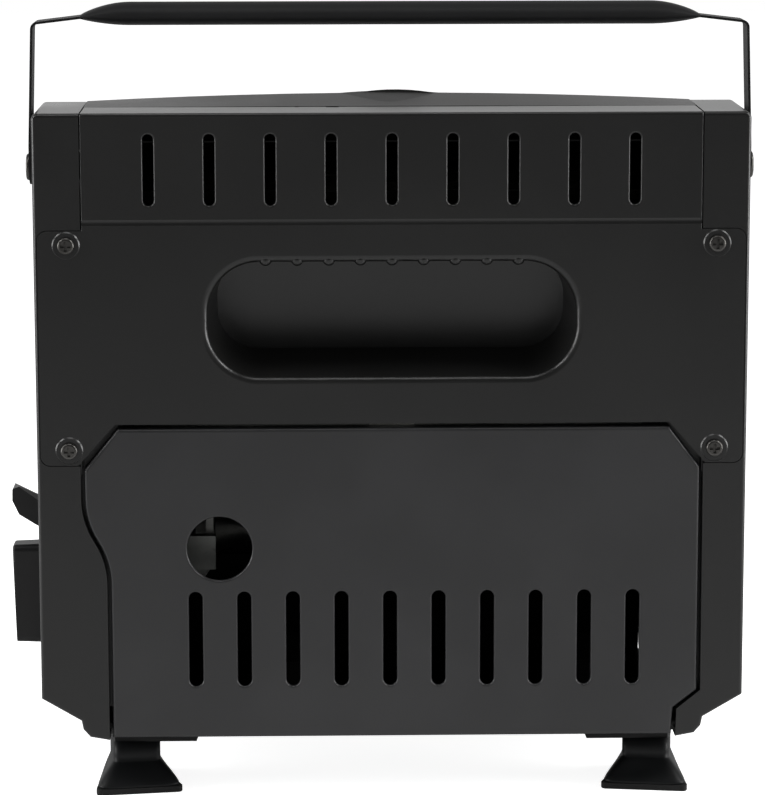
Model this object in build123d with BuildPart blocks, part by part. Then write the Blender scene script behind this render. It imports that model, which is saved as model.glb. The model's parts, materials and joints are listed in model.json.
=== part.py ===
from build123d import *
from math import cos, radians, sin, tan
import os

# Portable radiant heater fed by a gas cartridge that lies in a bay behind the rear door.
# Millimetres. +Z is up, the burner faces -Y, the door faces +Y, the knob is on the +X side.
# The origin is on the ground, under the middle of the whole outline, knob included.

os.makedirs("parts", exist_ok=True)

# ---- Driving dimensions: the body ------------------------------------------------------
body_width = 285.0
body_height = 280.0  # the flat top above the ground
rear_y = 75.0  # the flat back
top_depth = 53.7  # the flat top, from the back to the brow
fascia_y = -76.0  # the upright lower front
slope_angle = 25.0  # the burner face leans back by this from the upright
belly_z = 24.4  # underside of the body
mid_x = -4.9  # the body's middle plane: the knob shifts the outline's middle
wall = 2.5  # moulded side panels
cover_wall = 2.0  # rear cover and hood
door_wall = 1.6
sheet = 1.2  # pressed steel brackets
gap = 0.3  # seam between neighbouring covers
screw_r = 1.5
screw_hole_r = 1.55

half_width = body_width / 2
brow_y = rear_y - top_depth

# ---- Rear cover and door, both in the back plane ---------------------------------------
band_half_width = 123.4  # upper vent band
band_bottom_z = 233.4
cover_half_width = 141.0  # middle panel
cover_bottom_z = 138.7
cover_notch_z = 155.3  # the cover's edge above the door
fold_depth = 27.5  # the cover's fold over the top
vent_count = 9
vent_pitch = 24.14
vent_width = 6.0
vent_rim = 0.9  # rounding of the vents' pressed edges
vent_low_z = 242.4
vent_high_z = 272.5
crease_z = 236.6  # pressed line under the vents
crease_r = 2.2
crease_depth = 0.35
cover_corner_r = 4.0
cover_top_r = 1.2
band_edge_r = 0.6
cover_screw_x = 129.5
boss_height = 0.5  # raised seat round each cover screw
cover_screw_heights = (227.6, 144.8)
flange_x = 124.6  # inner edge of the side panels' flange under the cover
recess_width = 147.6
recess_height = 46.8
recess_z = 197.2
recess_depth = 29.6  # at the middle of the recess's back wall
recess_tilt = radians(10)  # the back wall leans in towards its foot
recess_floor_width = 140.8
recess_floor_height = 39.3
recess_floor_z = 200.3
recess_rim = 2.8
finger_rib_pitch = 12.6
finger_rib_r = 2.6
finger_rib_drop = 1.8  # how far a rib stands below the recess's ceiling
finger_rib_length = 14.0

door_top_z = 153.5
door_bottom_z = 25.7
door_slot_count = 10
door_slot_pitch = 19.66
door_slot_middle_x = -8.85
door_slot_low_z = 47.1
door_slot_high_z = 86.3
door_slot_width = 5.5
door_rim = 0.9
finger_hole_x = 69.7
finger_hole_z = 104.2
finger_hole_r = 13.1
hinge_y = 70.5
hinge_z = 30.0

# ---- Bail handle -----------------------------------------------------------------------
pivot_y = 46.0
pivot_z = 256.0
strap_x = 144.8  # middle of the strap's thickness at the pivot
strap_thick = 1.0
strap_width = 14.0
strap_shoulder_x = 143.2  # the strap leans in towards its shoulder
strap_shoulder_z = 313.9
strap_bend_r = 2.5
pivot_head_x = strap_x + strap_thick / 2 + 0.1
pivot_head = 1.3
strap_top_z = 316.2
grip_z = 317.5  # the grip's middle is a little above the strap's
grip_half_length = 124.0
grip_thick = 9.4
grip_width = 20.0

# ---- Gas train -------------------------------------------------------------------------
cartridge_y = 33.0
cartridge_z = 94.0
knob_y = 30.0
knob_z = 77.0
knob_tip_x = 156.5
knob_half_height = 21.0
shaft_r = 3.0
lever_x = 128.0
lever_y = 30.0
lever_z = 103.2
lever_angle = 26.6  # the pad points up and out when unlocked

# ---- Burner, in the coordinates of the sloping face ------------------------------------
face_mid_y = -27.0
slope = radians(slope_angle)
face_mid_z = body_height - (brow_y - face_mid_y) / tan(slope)
face_top = (brow_y - face_mid_y) / sin(slope)
face_bottom = (fascia_y - face_mid_y) / sin(slope)
bezel_top_v = 96.0
fascia_low_z = 34.0
burner_v = 8.0
opening_width = 208.0
opening_height = 140.0
box_width = 150.0
box_height = 105.0
box_front_w = -21.0
box_back_w = -43.0
venturi_v = -78.0
venturi_w = -34.0
shield_w = -46.0
probe_v = -50.0
electrode_u = 40.0
thermocouple_u = -30.0

# ---- Feet ------------------------------------------------------------------------------
foot_x = 106.4
foot_y = 48.5
foot_splay = 8.5
pad_thick = 2.6
foot_boss = 4.5  # the base pan's raised pads over the feet
toe_top_z = 11.8


def upright(y):
    """Plane across the body at y: sketch x is the body's x, sketch y is the height."""
    return Plane(origin=(mid_x, y, 0), x_dir=(1, 0, 0), z_dir=(0, -1, 0))


def across(x):
    """Plane along the body at x from its middle: sketch x is y, sketch y is the height."""
    return Plane(origin=(mid_x + x, 0, 0), x_dir=(0, 1, 0), z_dir=(1, 0, 0))


def level(z):
    """Level plane at height z, centred on the body's middle."""
    return Plane(origin=(mid_x, 0, z), x_dir=(1, 0, 0), z_dir=(0, 0, 1))


def on_face(w):
    """Plane along the sloping front, w out of it: sketch y runs up the slope."""
    return Plane(
        origin=(mid_x, face_mid_y - cos(slope) * w, face_mid_z + sin(slope) * w),
        x_dir=(1, 0, 0),
        z_dir=(0, -cos(slope), sin(slope)),
    )


def up_face(u, v, w):
    """Plane square to the way up the slope, at the point u, v, w of the front."""
    y, z = face_point(v, w)
    return Plane(origin=(mid_x + u, y, z), x_dir=(1, 0, 0), z_dir=(0, sin(slope), cos(slope)))


def face_point(v, w):
    """Depth and height of the point v up the sloping front and w out of it."""
    y = face_mid_y + sin(slope) * v - cos(slope) * w
    z = face_mid_z + cos(slope) * v + sin(slope) * w
    return (y, z)


def save(piece, name):
    """Label a finished piece and write it as its own node."""
    piece.label = name
    export_step(piece, "parts/" + name + ".step")


def turned_rod(start_x, end_x, y, z, radius):
    """A round rod along x."""
    with BuildPart() as rod:
        with BuildSketch(across(start_x)):
            with Locations((y, z)):
                Circle(radius)
        extrude(amount=end_x - start_x)
    return rod.part


def block(x0, x1, y0, y1, z0, z1):
    """A plain block between two corners, x from the body's middle."""
    with BuildPart() as solid:
        with BuildSketch(level(z0)):
            with Locations(((x0 + x1) / 2, (y0 + y1) / 2)):
                Rectangle(x1 - x0, y1 - y0)
        extrude(amount=z1 - z0)
    return solid.part


def side_block(side, x0, x1, y0, y1, z0, z1):
    """A block beside the middle plane: side +1 as given, -1 mirrored."""
    near, far = sorted((side * x0, side * x1))
    return block(near, far, y0, y1, z0, z1)


# ---- Body shell ------------------------------------------------------------------------
def body_block(inset):
    """The body's whole outer form, drawn in on every side by inset."""
    with BuildPart() as form:
        with BuildSketch(upright(rear_y - inset)):
            with BuildLine():
                Polyline(
                    (0, body_height),
                    (half_width, body_height),
                    (half_width, 42.2),
                    (126.5, 32.8),
                    (125.8, 29.2),
                    (123.0, 26.0),
                    (114.2, belly_z),
                    (0, belly_z),
                    close=True,
                )
            make_face()
            mirror(about=Plane.YZ)
            if inset:
                offset(amount=-inset, kind=Kind.INTERSECTION)
        extrude(amount=rear_y - fascia_y)
        with BuildSketch(across(-half_width - 10)):
            with BuildLine():
                Polyline(
                    (rear_y, belly_z),
                    (rear_y, body_height),
                    (brow_y, body_height),
                    face_point(face_bottom, 0),
                    (fascia_y, fascia_low_z),
                    (fascia_y + 7.3, belly_z),
                    close=True,
                )
            make_face()
            if inset:
                offset(amount=-inset, kind=Kind.INTERSECTION)
        extrude(amount=body_width + 20, mode=Mode.INTERSECT)
    return form.part


def rounded_body():
    """The body's outer form with its long edges rounded."""
    with BuildPart() as form:
        add(body_block(0))
        outer = form.edges().filter_by(Axis.Y)
        fillet(outer.group_by(Axis.Z)[-1], 2.6)
        fillet(form.faces().sort_by(Axis.Y)[-1].edges(), 1.6)
    return form.part


def door_outline(inset):
    """The door's outline in the back plane, drawn in by inset."""
    with BuildSketch() as outline:
        with BuildLine():
            start = Polyline(
                (113.8, door_bottom_z),
                (-113.7, door_bottom_z),
                (-114.4, 36.7),
                (-124.0, 44.2),
                (-124.0, 136.8),
                (-111.4, door_top_z),
                (110.2, door_top_z),
                (123.8, 136.8),
                (123.8, 124.7),
            )
            upper_bend = TangentArc(start @ 1, (118.8, 107.2), tangent=(0, -1))
            lower_bend = TangentArc(upper_bend @ 1, (113.8, 89.6), tangent=upper_bend % 1)
            Line(lower_bend @ 1, (113.8, door_bottom_z))
        make_face()
        if inset:
            offset(amount=-inset, kind=Kind.INTERSECTION)
    return outline.sketch


def side_panel(side):
    """One moulded end panel, wrapping round the back, top, front and underside."""
    with BuildPart() as panel:
        add(rounded_body())
        add(body_block(wall), mode=Mode.SUBTRACT)
        add(
            side_block(side, 114.2, half_width + 1, -80, rear_y + 1, 0, 300),
            mode=Mode.INTERSECT,
        )
        # Where the rear cover and the door lie, the panel stops short of them.
        with BuildSketch(upright(rear_y + 1)):
            with BuildLine():
                top = Polyline(
                    (side * 110, 300),
                    (side * (band_half_width + gap), 300),
                    (side * (band_half_width + gap), band_bottom_z + gap),
                    (side * flange_x, band_bottom_z + gap),
                    (side * flange_x, cover_bottom_z - gap),
                    (side * 125.1, cover_bottom_z - gap),
                )
                if side > 0:
                    upper = Line(top @ 1, (125.1, 124.7))
                    bend = TangentArc(upper @ 1, (120.1, 107.2), tangent=(0, -1))
                    bend = TangentArc(bend @ 1, (115.1, 89.6), tangent=bend % 1)
                    lower = Line(bend @ 1, (115.1, 10))
                else:
                    lower = Polyline(top @ 1, (-125.3, 44.2), (-115.7, 36.4), (-115.0, 10))
                Polyline(lower @ 1, (side * 110, 10), (side * 110, 300))
            make_face()
        extrude(amount=12, mode=Mode.SUBTRACT)
        add(side_block(side, 110, 123.7, 0, 66, 270, 290), mode=Mode.SUBTRACT)
        add(side_block(side, 110, 128, -80, -60, fascia_low_z - gap, 85), mode=Mode.SUBTRACT)
        with BuildSketch(on_face(1)):
            with Locations((side * 110, bezel_top_v + gap - 150)):
                Rectangle(36, 300)
            with Locations((side * 110, bezel_top_v + 50)):
                Rectangle(2 * (band_half_width + gap - 110), 100)
        extrude(amount=-8, mode=Mode.SUBTRACT)
        # The stepped flange under the edge of the rear cover.
        with BuildSketch(upright(rear_y + 1)):
            with Locations((side * (cover_half_width + gap - 30), (band_bottom_z + cover_bottom_z) / 2)):
                RectangleRounded(
                    60, band_bottom_z - cover_bottom_z + 2 * gap, cover_corner_r + gap
                )
        extrude(amount=1 + cover_wall + 0.1, mode=Mode.SUBTRACT)
        with BuildSketch(upright(rear_y - cover_wall - 0.1)):
            with Locations((side * (flange_x + 140) / 2, (band_bottom_z + cover_bottom_z) / 2)):
                Rectangle(140 - flange_x, band_bottom_z - cover_bottom_z + 8)
        extrude(amount=wall)
        # The rebate that closes the gap round the door.
        with BuildSketch(upright(rear_y - 8)):
            Polygon(
                (side * 108.8, 37),
                (side * 128, 37),
                (side * 140.3, 46),
                (side * 140.3, 156),
                (side * 108.8, 156),
                align=None,
            )
            add(door_outline(3.2), mode=Mode.SUBTRACT)
        extrude(amount=1.5)
        with BuildSketch(upright(rear_y)):
            with Locations(*[(side * cover_screw_x, z) for z in cover_screw_heights]):
                Circle(screw_hole_r)
        extrude(amount=8, mode=Mode.SUBTRACT)
        # Tabs behind the bezel's corners.
        with BuildSketch(on_face(-2.4)):
            with Locations((side * 122, 86), (side * 122, -96)):
                Rectangle(32, 12)
            with Locations((side * 116, 86), (side * 116, -96)):
                Circle(screw_hole_r, mode=Mode.SUBTRACT)
        extrude(amount=-wall)
        # Lug on the base pan, and the knuckle of the door's hinge.
        add(side_block(side, 98, 117, -12, 12, belly_z + 1.5, belly_z + 4))
        with BuildSketch(level(belly_z)):
            with Locations((side * 106, -6), (side * 106, 6)):
                Circle(screw_hole_r)
        extrude(amount=10, mode=Mode.SUBTRACT)
        knuckle_x = 116 if side > 0 else -121
        with BuildSketch(across(knuckle_x)):
            with Locations((hinge_y, hinge_z)):
                Circle(3.4)
            with Locations((hinge_y + 1.2, hinge_z)):
                Rectangle(2.4, 6.8)
        extrude(amount=5)
        with BuildSketch(across(side * 110)):
            with Locations((hinge_y, hinge_z)):
                Circle(screw_r + 0.02)
        extrude(amount=side * 12, mode=Mode.SUBTRACT)
        # Seat of the bail handle's pivot.
        seat_x = half_width - 5 if side > 0 else 5 - half_width
        with BuildSketch(across(seat_x)):
            with Locations((pivot_y, pivot_z)):
                Circle(8)
        extrude(amount=side * 3)
        with BuildSketch(across(seat_x - side)):
            with Locations((pivot_y, pivot_z)):
                Circle(2.55)
        extrude(amount=side * 10, mode=Mode.SUBTRACT)
        if side > 0:
            # Dish and hole of the control knob, slot of the lock lever.
            with BuildSketch(across(135.5)):
                with Locations((knob_y, knob_z)):
                    Circle(20.5)
            extrude(amount=6)
            with BuildSketch(across(138.0)):
                with Locations((knob_y, knob_z)):
                    Circle(18.5)
            extrude(amount=6, mode=Mode.SUBTRACT)
            with BuildSketch(across(130)):
                with Locations((knob_y, knob_z)):
                    Circle(5)
            extrude(amount=10, mode=Mode.SUBTRACT)
            with BuildSketch(across(136)):
                with Locations((lever_y, 107.0)):
                    Rectangle(15, 16.4)
            extrude(amount=8, mode=Mode.SUBTRACT)
    return panel.part


save(side_panel(-1), "left_side_panel")
save(side_panel(1), "right_side_panel")


# ---- Rear cover ------------------------------------------------------------------------
def recess_form(grow):
    """The hand recess as a solid, grown by grow on the sides and the floor."""
    with BuildPart() as form:
        with BuildSketch(upright(rear_y)):
            with Locations((0, recess_z)):
                RectangleRounded(recess_width + 2 * grow, recess_height + 2 * grow, 21 + grow)
        leaning = Plane(
            origin=(mid_x, rear_y - recess_depth - grow, recess_floor_z),
            x_dir=(1, 0, 0),
            z_dir=(0, -cos(recess_tilt), sin(recess_tilt)),
        )
        with BuildSketch(leaning):
            RectangleRounded(
                recess_floor_width + 2 * grow, recess_floor_height + 2 * grow, 17 + grow
            )
        loft()
    return form.part


with BuildPart() as rear_cover:
    with BuildSketch(upright(rear_y)):
        with BuildLine():
            Polyline(
                (0, body_height),
                (band_half_width, body_height),
                (band_half_width, band_bottom_z),
                (cover_half_width, band_bottom_z),
                (cover_half_width, cover_bottom_z),
                (126.0, cover_bottom_z),
                (111.2, cover_notch_z),
                (0, cover_notch_z),
                close=True,
            )
        make_face()
        mirror(about=Plane.YZ)
        corners = vertices().filter_by(lambda v: abs(abs(v.X) - cover_half_width) < 0.1)
        fillet(corners, cover_corner_r)
    extrude(amount=cover_wall)
    add(
        block(
            -band_half_width,
            band_half_width,
            rear_y - fold_depth,
            rear_y,
            body_height - cover_wall,
            body_height,
        )
    )
    top_edge = rear_cover.edges().filter_by(Axis.X).sort_by(lambda e: e.center().Y + e.center().Z)
    fillet(top_edge[-1], cover_top_r)
    band_edges = rear_cover.faces().sort_by(Axis.Y)[-1].edges().filter_by(Axis.Z)
    fillet(band_edges.filter_by(lambda e: e.center().Z > band_bottom_z), band_edge_r)
    add(recess_form(1.8))
    add(recess_form(0), mode=Mode.SUBTRACT)
    rim = rear_cover.faces().sort_by(Axis.Y)[-1].inner_wires()[0].edges()
    fillet(rim, recess_rim)
    # Finger ribs along the ceiling of the recess, each with a round nose.
    rib_z = recess_z + recess_height / 2 - finger_rib_drop + finger_rib_r
    for rib in range(9):
        rib_x = mid_x + (rib - 4) * finger_rib_pitch
        rib_y = rear_y - 0.3 - finger_rib_r
        with Locations(Location((rib_x, rib_y, rib_z), (90, 0, 0))):
            Sphere(finger_rib_r)
            Cylinder(finger_rib_r, finger_rib_length, align=(Align.CENTER, Align.CENTER, Align.MIN))
    with BuildSketch(upright(rear_y)):
        with Locations((0, (vent_low_z + vent_high_z) / 2)):
            with GridLocations(vent_pitch, 1, vent_count, 1):
                SlotOverall(
                    vent_high_z - vent_low_z - 2 * vent_rim, vent_width - 2 * vent_rim, rotation=90
                )
    extrude(amount=cover_wall, mode=Mode.SUBTRACT)
    back = rear_cover.faces().sort_by(Axis.Y)[-1]
    for wire in back.inner_wires():
        if wire.length < 90:
            fillet(wire.edges(), vent_rim)
    # The crease under the vents.
    add(
        turned_rod(
            -band_half_width, band_half_width, rear_y + crease_r - crease_depth, crease_z, crease_r
        ),
        mode=Mode.SUBTRACT,
    )
    # Slots at the front of the fold that the hood's tongues lie in.
    add(block(20.8, 25.9, rear_y - fold_depth, rear_y - fold_depth + 2.6, 270, 290), mode=Mode.SUBTRACT)
    add(block(36.9, 38.5, rear_y - fold_depth, rear_y - fold_depth + 1.4, 270, 290), mode=Mode.SUBTRACT)
    # Screw seats: a low boss under each head.
    with BuildSketch(upright(rear_y)):
        for z in cover_screw_heights:
            with Locations((-cover_screw_x, z), (cover_screw_x, z)):
                Circle(5.6)
    extrude(amount=-boss_height, taper=45)
    with BuildSketch(upright(rear_y + 1)):
        for z in cover_screw_heights:
            with Locations((-cover_screw_x, z), (cover_screw_x, z)):
                Circle(screw_r + 0.2)
    extrude(amount=8, mode=Mode.SUBTRACT)
save(rear_cover.part, "rear_cover")


def pan_screw(head_r, head_height, shank_length):
    """A cross-head screw standing on its shank's tip, head up, its seat at the origin."""
    with BuildPart() as screw:
        with BuildSketch(Plane.XY):
            Circle(head_r)
        extrude(amount=head_height)
        fillet(screw.faces().sort_by(Axis.Z)[-1].edges(), head_height * 0.55)
        with BuildSketch(Plane.XY.offset(head_height * 0.25)):
            Rectangle(head_r * 1.2, head_r * 0.34)
            Rectangle(head_r * 0.34, head_r * 1.2)
        extrude(amount=head_height, mode=Mode.SUBTRACT)
        with BuildSketch(Plane.XY):
            Circle(screw_r)
        extrude(amount=-shank_length)
    return screw.part


def screws_at(seats, head_r, head_height, shank_length):
    """The same screw at each seat, a plane whose normal points out of the head."""
    screw = pan_screw(head_r, head_height, shank_length)
    return Compound(children=[seat.location * screw for seat in seats])


def rear_seat(x, z):
    """Seat of a cover screw at x and z, on its boss."""
    return Plane(origin=(mid_x + x, rear_y + boss_height, z), x_dir=(1, 0, 0), z_dir=(0, 1, 0))


cover_seats = [rear_seat(s * cover_screw_x, z) for s in (-1, 1) for z in cover_screw_heights]
save(screws_at(cover_seats, 3.4, 1.9, 8.0), "rear_cover_screws")

# Steel rail behind the cover's lower edge; it carries the door catch.
with BuildPart() as rear_rail:
    with BuildSketch(across(0.3 - flange_x)):
        with BuildLine():
            Polyline((59.0, 157.5), (72.3, 157.5), (72.3, 169.0))
        trace(line_width=sheet)
    extrude(amount=2 * flange_x - 0.6)
save(rear_rail.part, "rear_rail")

# ---- Cartridge door --------------------------------------------------------------------
with BuildPart() as cartridge_door:
    with BuildSketch(upright(rear_y)):
        add(door_outline(0))
    extrude(amount=7)
    fillet(cartridge_door.faces().sort_by(Axis.Y)[-1].edges(), 1.5)
    with BuildSketch(upright(rear_y - door_wall)):
        add(door_outline(door_wall))
    extrude(amount=7, mode=Mode.SUBTRACT)
    for knuckle_x in (-112.0, 104.5):
        with BuildSketch(across(knuckle_x)):
            with Locations((hinge_y, hinge_z)):
                Circle(3.2)
            with Locations((hinge_y + 1.8, hinge_z)):
                Rectangle(3.6, 6.4)
            with Locations((hinge_y + 1.0, hinge_z - 2.2)):
                Rectangle(3.0, 2.4)
        extrude(amount=7.5)
    with BuildSketch(across(-130)):
        with Locations((hinge_y, hinge_z)):
            Circle(screw_r + 0.06)
    extrude(amount=260, mode=Mode.SUBTRACT)
    with BuildSketch(upright(rear_y)):
        with Locations((door_slot_middle_x, (door_slot_low_z + door_slot_high_z) / 2)):
            with GridLocations(door_slot_pitch, 1, door_slot_count, 1):
                SlotOverall(door_slot_high_z - door_slot_low_z, door_slot_width, rotation=90)
        with Locations((finger_hole_x, finger_hole_z)):
            Circle(finger_hole_r)
    extrude(amount=door_wall, mode=Mode.SUBTRACT)
    back = cartridge_door.faces().sort_by(Axis.Y)[-1]
    for wire in back.inner_wires():
        fillet(wire.edges(), door_rim)
save(cartridge_door.part, "cartridge_door")

hinge_pins = Compound(
    children=[
        turned_rod(105.0, 120.6, hinge_y, hinge_z, screw_r),
        turned_rod(-120.6, -105.0, hinge_y, hinge_z, screw_r),
    ]
)
save(hinge_pins, "door_hinge_pins")

save(block(-9, 9, 59.6, 67.4, 144.5, 156.9), "door_magnet")
save(block(-11, 11, 67.8, rear_y - door_wall, 143.5, 151.5), "strike_plate")

# ---- Top hood --------------------------------------------------------------------------
with BuildPart() as top_hood:
    for y, edge_z, middle_z in (
        (rear_y - fold_depth - gap, body_height, body_height + 0.2),
        (brow_y, body_height + 0.3, body_height + 3.4),
    ):
        with BuildSketch(upright(y)):
            with BuildLine():
                ThreePointArc((-123.4, edge_z), (0, middle_z), (123.4, edge_z))
                Line((123.4, edge_z), (123.4, edge_z - cover_wall))
                ThreePointArc(
                    (123.4, edge_z - cover_wall),
                    (0, middle_z - cover_wall),
                    (-123.4, edge_z - cover_wall),
                )
                Line((-123.4, edge_z - cover_wall), (-123.4, edge_z))
            make_face()
    loft()
    with BuildSketch(on_face(0)):
        with BuildLine():
            ThreePointArc((-123.4, face_top + 0.2), (0, face_top + 3.4), (123.4, face_top + 0.2))
            Polyline(
                (123.4, face_top + 0.2),
                (123.4, bezel_top_v + 0.6),
                (-123.4, bezel_top_v + 0.6),
                (-123.4, face_top + 0.2),
            )
        make_face()
    extrude(amount=-cover_wall)
    # The low swelling in its middle, and the lip on it.
    for y, half, low_z, rise in ((rear_y - 29, 8, -0.5, 0.55), (brow_y, 27, 2.6, 1.6)):
        with BuildSketch(upright(y)):
            with BuildLine():
                arc = ThreePointArc(
                    (-half, body_height + low_z),
                    (0, body_height + low_z + rise),
                    (half, body_height + low_z),
                )
                Line(arc @ 1, arc @ 0)
            make_face()
    loft()
    with BuildSketch(upright(brow_y + 1.3)):
        with BuildLine():
            lip = ThreePointArc(
                (-17.8, body_height + 3.4), (-2.2, body_height + 4.7), (13.4, body_height + 3.4)
            )
            Line(lip @ 1, lip @ 0)
        make_face()
    extrude(amount=1.3)
save(top_hood.part, "top_hood")

# ---- Front bezel: sloping frame and upright fascia from one sheet ----------------------
with BuildPart() as front_bezel:
    with BuildSketch(across(-127.6)):
        with BuildLine():
            Polyline(
                face_point(bezel_top_v, 0),
                face_point(face_bottom, 0),
                (fascia_y, fascia_low_z),
                (fascia_y + 2.2, fascia_low_z),
                face_point(face_bottom + 0.5, -2.2),
                face_point(bezel_top_v, -2.2),
                close=True,
            )
        make_face()
    extrude(amount=255.2)
    with BuildSketch(on_face(1)):
        with Locations((0, burner_v)):
            RectangleRounded(opening_width, opening_height, 14)
        with Locations((-116, 86), (116, 86), (-116, -96), (116, -96)):
            Circle(screw_hole_r)
    extrude(amount=-6, mode=Mode.SUBTRACT)
    with BuildSketch(upright(fascia_y + 10)):
        with Locations((0, 55)):
            with GridLocations(30, 11, 7, 2):
                SlotOverall(22, 4.4)
    extrude(amount=20, mode=Mode.SUBTRACT)
save(front_bezel.part, "front_bezel")


def face_seat(u, v):
    """Screw seat on the sloping front."""
    y, z = face_point(v, 0)
    return Plane(origin=(mid_x + u, y, z), x_dir=(1, 0, 0), z_dir=(0, -cos(slope), sin(slope)))


bezel_seats = [face_seat(s * 116, v) for s in (-1, 1) for v in (86, -96)]
save(screws_at(bezel_seats, 3.4, 1.9, 8.0), "bezel_screws")

# ---- Reflector and burner --------------------------------------------------------------
def bowl(grow):
    """The reflector's bowl as a solid."""
    with BuildPart() as form:
        with BuildSketch(on_face(-2.3)):
            with Locations((0, burner_v)):
                RectangleRounded(206.0 + 2 * grow, 138.0 + 2 * grow, 13 + grow)
        with BuildSketch(on_face(-23.0)):
            with Locations((0, burner_v)):
                RectangleRounded(152.8 + 2 * grow, 107.8 + 2 * grow, 6 + grow)
        loft()
    return form.part


with BuildPart() as reflector:
    add(bowl(0.8))
    with BuildSketch(on_face(-2.3)):
        with Locations((0, burner_v)):
            RectangleRounded(216, 148, 16)
    extrude(amount=-0.8)
    add(bowl(0), mode=Mode.SUBTRACT)
    with BuildSketch(on_face(0)):
        with Locations((electrode_u, probe_v), (thermocouple_u, probe_v)):
            Circle(3.2)
    extrude(amount=-26, mode=Mode.SUBTRACT)
save(reflector.part, "reflector")

with BuildPart() as burner_box:
    with BuildSketch(on_face(box_back_w)):
        with Locations((0, burner_v)):
            RectangleRounded(box_width, box_height, 5)
    extrude(amount=box_front_w - box_back_w)
    with BuildSketch(on_face(box_back_w + 1)):
        with Locations((0, burner_v)):
            RectangleRounded(box_width - 2, box_height - 2, 4)
    extrude(amount=box_front_w - box_back_w, mode=Mode.SUBTRACT)
    # Ledge that the plaques rest on.
    with BuildSketch(on_face(-31.0)):
        with Locations((0, burner_v + 2)):
            Rectangle(box_width - 1.5, box_height - 6)
            Rectangle(128, 82, mode=Mode.SUBTRACT)
    extrude(amount=-1)
    with BuildSketch(up_face(0, burner_v - box_height / 2, venturi_w)):
        Circle(6.55)
    extrude(amount=4, both=True, mode=Mode.SUBTRACT)
save(burner_box.part, "burner_box")


# Two ceramic tiles side by side, each with a shallow grid of flame dimples.
with BuildPart() as ceramic_plaques:
    for u in (-36.6, 36.6):
        with BuildSketch(on_face(-31.0)):
            with Locations((u, burner_v + 1)):
                Rectangle(72.6, 97.0)
        extrude(amount=9.8)
        with BuildSketch(on_face(-21.2)):
            with Locations((u, burner_v + 1)):
                with GridLocations(6.6, 6.6, 10, 13):
                    Circle(1.9)
        extrude(amount=-1.2, mode=Mode.SUBTRACT)
save(ceramic_plaques.part, "ceramic_plaques")

with BuildPart() as plaque_frame:
    with BuildSketch(on_face(-27.0)):
        with Locations((0, burner_v)):
            RectangleRounded(box_width + 2, box_height + 2, 6)
            RectangleRounded(box_width + 0.1, box_height + 0.1, 5, mode=Mode.SUBTRACT)
    extrude(amount=7)
    with BuildSketch(on_face(-20.9)):
        with Locations((0, burner_v)):
            RectangleRounded(box_width + 2, box_height + 2, 6)
            RectangleRounded(140, 94, 3, mode=Mode.SUBTRACT)
    extrude(amount=0.9)
save(plaque_frame.part, "plaque_frame")

with BuildPart() as radiant_mesh:
    with BuildSketch(on_face(-15.0)):
        with Locations((0, burner_v)):
            Rectangle(144, 98)
            with GridLocations(7.0, 7.0, 20, 13):
                Rectangle(5.8, 5.8, mode=Mode.SUBTRACT)
    extrude(amount=1)
    with BuildSketch(on_face(-20.0)):
        with Locations((0, burner_v)):
            with GridLocations(142.6, 96.6, 2, 2):
                Circle(0.7)
    extrude(amount=5.5)
save(radiant_mesh.part, "radiant_mesh")

with BuildPart() as heat_shield:
    with BuildSketch(on_face(shield_w)):
        with Locations((0, 18.5)):
            Rectangle(214, 161)
    extrude(amount=1)
    for u in (-106.5, 106.5):
        with BuildSketch(on_face(shield_w + 1)):
            with Locations((u, 20)):
                Rectangle(1, 120)
        extrude(amount=-shield_w - 1 - 3.1)
save(heat_shield.part, "heat_shield")

# ---- Venturi, jet and pipe -------------------------------------------------------------
venturi_y, venturi_z = face_point(venturi_v, venturi_w)
with BuildPart() as venturi_tube:
    with BuildLine(on_face(venturi_w)) as route:
        FilletPolyline((62, venturi_v), (0, venturi_v), (0, burner_v - box_height / 2 + 3), radius=20)
    with BuildSketch(Plane(origin=route.line @ 0, z_dir=route.line % 0)):
        Circle(6.5)
        Circle(5.5, mode=Mode.SUBTRACT)
    sweep()
    with BuildSketch(across(62)):
        with Locations((venturi_y, venturi_z)):
            Circle(6.5)
    extrude(amount=12, taper=-22)
    with BuildSketch(across(62)):
        with Locations((venturi_y, venturi_z)):
            Circle(5.5)
    extrude(amount=12.5, taper=-22, mode=Mode.SUBTRACT)
save(venturi_tube.part, "venturi_tube")

with BuildPart() as jet_block:
    add(block(98, 112, venturi_y - 7, venturi_y + 7, venturi_z - 7, venturi_z + 7))
    chamfer(jet_block.edges().filter_by(Axis.X), 1.2)
    with BuildSketch(across(97)):
        with Locations((venturi_y, venturi_z)):
            Circle(3.02)
    extrude(amount=9, mode=Mode.SUBTRACT)
save(jet_block.part, "jet_block")

with BuildPart() as gas_jet:
    with BuildSketch(across(92)):
        with Locations((venturi_y, venturi_z)):
            RegularPolygon(4.6, 6)
    extrude(amount=6)
    with BuildSketch(across(84)):
        with Locations((venturi_y, venturi_z)):
            Circle(3.0)
    extrude(amount=21)
    with BuildSketch(across(83)):
        with Locations((venturi_y, venturi_z)):
            Circle(0.6)
    extrude(amount=23, mode=Mode.SUBTRACT)
save(gas_jet.part, "gas_jet")

with BuildPart() as jet_bracket:
    with BuildSketch(across(99)):
        with BuildLine():
            Polyline(
                (venturi_y - 7.6, venturi_z + 5),
                (venturi_y - 7.6, belly_z + 2.0),
                (venturi_y + 6, belly_z + 2.0),
            )
        trace(line_width=sheet)
    extrude(amount=12)
save(jet_bracket.part, "jet_bracket")


def tube(points, radii, radius):
    """A round tube or lead along straight runs joined by arcs; x from the body's middle."""
    with BuildPart() as run:
        with BuildLine() as path:
            FilletPolyline(*[(mid_x + x, y, z) for x, y, z in points], radius=radii)
        with BuildSketch(Plane(origin=path.line @ 0, z_dir=path.line % 0)):
            Circle(radius)
        sweep()
    return run.part


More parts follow.
